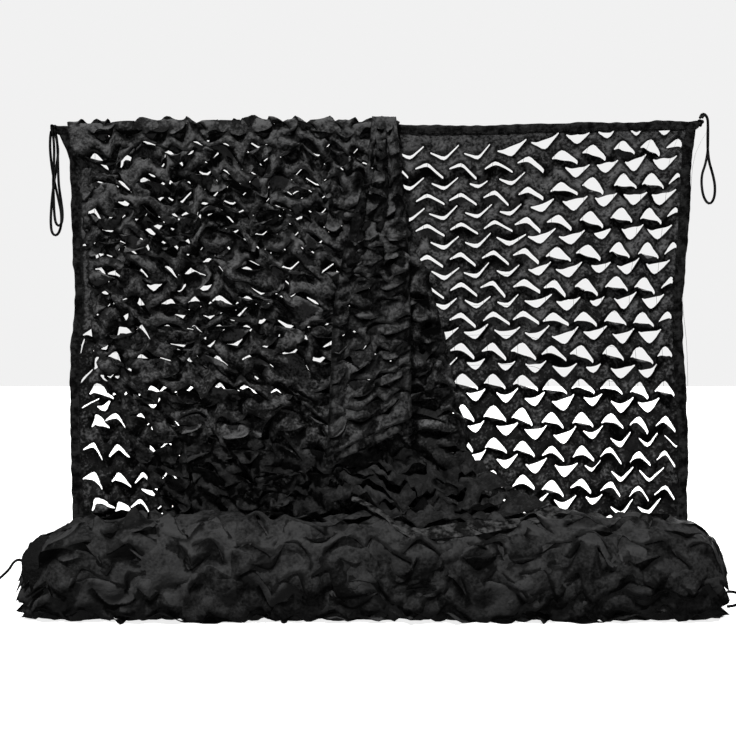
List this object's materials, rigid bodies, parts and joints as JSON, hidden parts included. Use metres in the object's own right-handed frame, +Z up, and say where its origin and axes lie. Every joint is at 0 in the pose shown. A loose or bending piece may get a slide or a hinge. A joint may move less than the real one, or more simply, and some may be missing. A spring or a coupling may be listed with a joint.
{
  "type": "camouflage net",
  "caption": "Leaf-cut camouflage net hung by its top edge, with a draped layer, a gathered flap and the rest rolled on the floor.",
  "frame": {"origin": "middle of the top edge, on the ridge of the top tape", "axes": "+X along the top edge to the right, +Y away from the viewer, +Z up"},
  "size_m": [1.7387, 0.2885, 1.1703],
  "materials": {
    "net_cloth": "matt black woven cloth with chevron leaf cuts",
    "tape": "folded and stitched black tape",
    "cord": "round black braided cord"
  },
  "bodies": {
    "root": {"hung_net": "net_cloth", "front_net": "net_cloth", "centre_flap": "net_cloth", "net_roll": "net_cloth", "binding_top": "tape", "binding_left": "tape", "binding_right": "tape", "flap_hem": "tape", "drape_hem": "tape", "cord_left_long": "cord", "cord_left_short": "cord", "cord_right": "cord", "cord_roll_left": "cord", "cord_roll_right": "cord", "knot_left": "cord", "knot_right": "cord"}
  },
  "joints": []
}
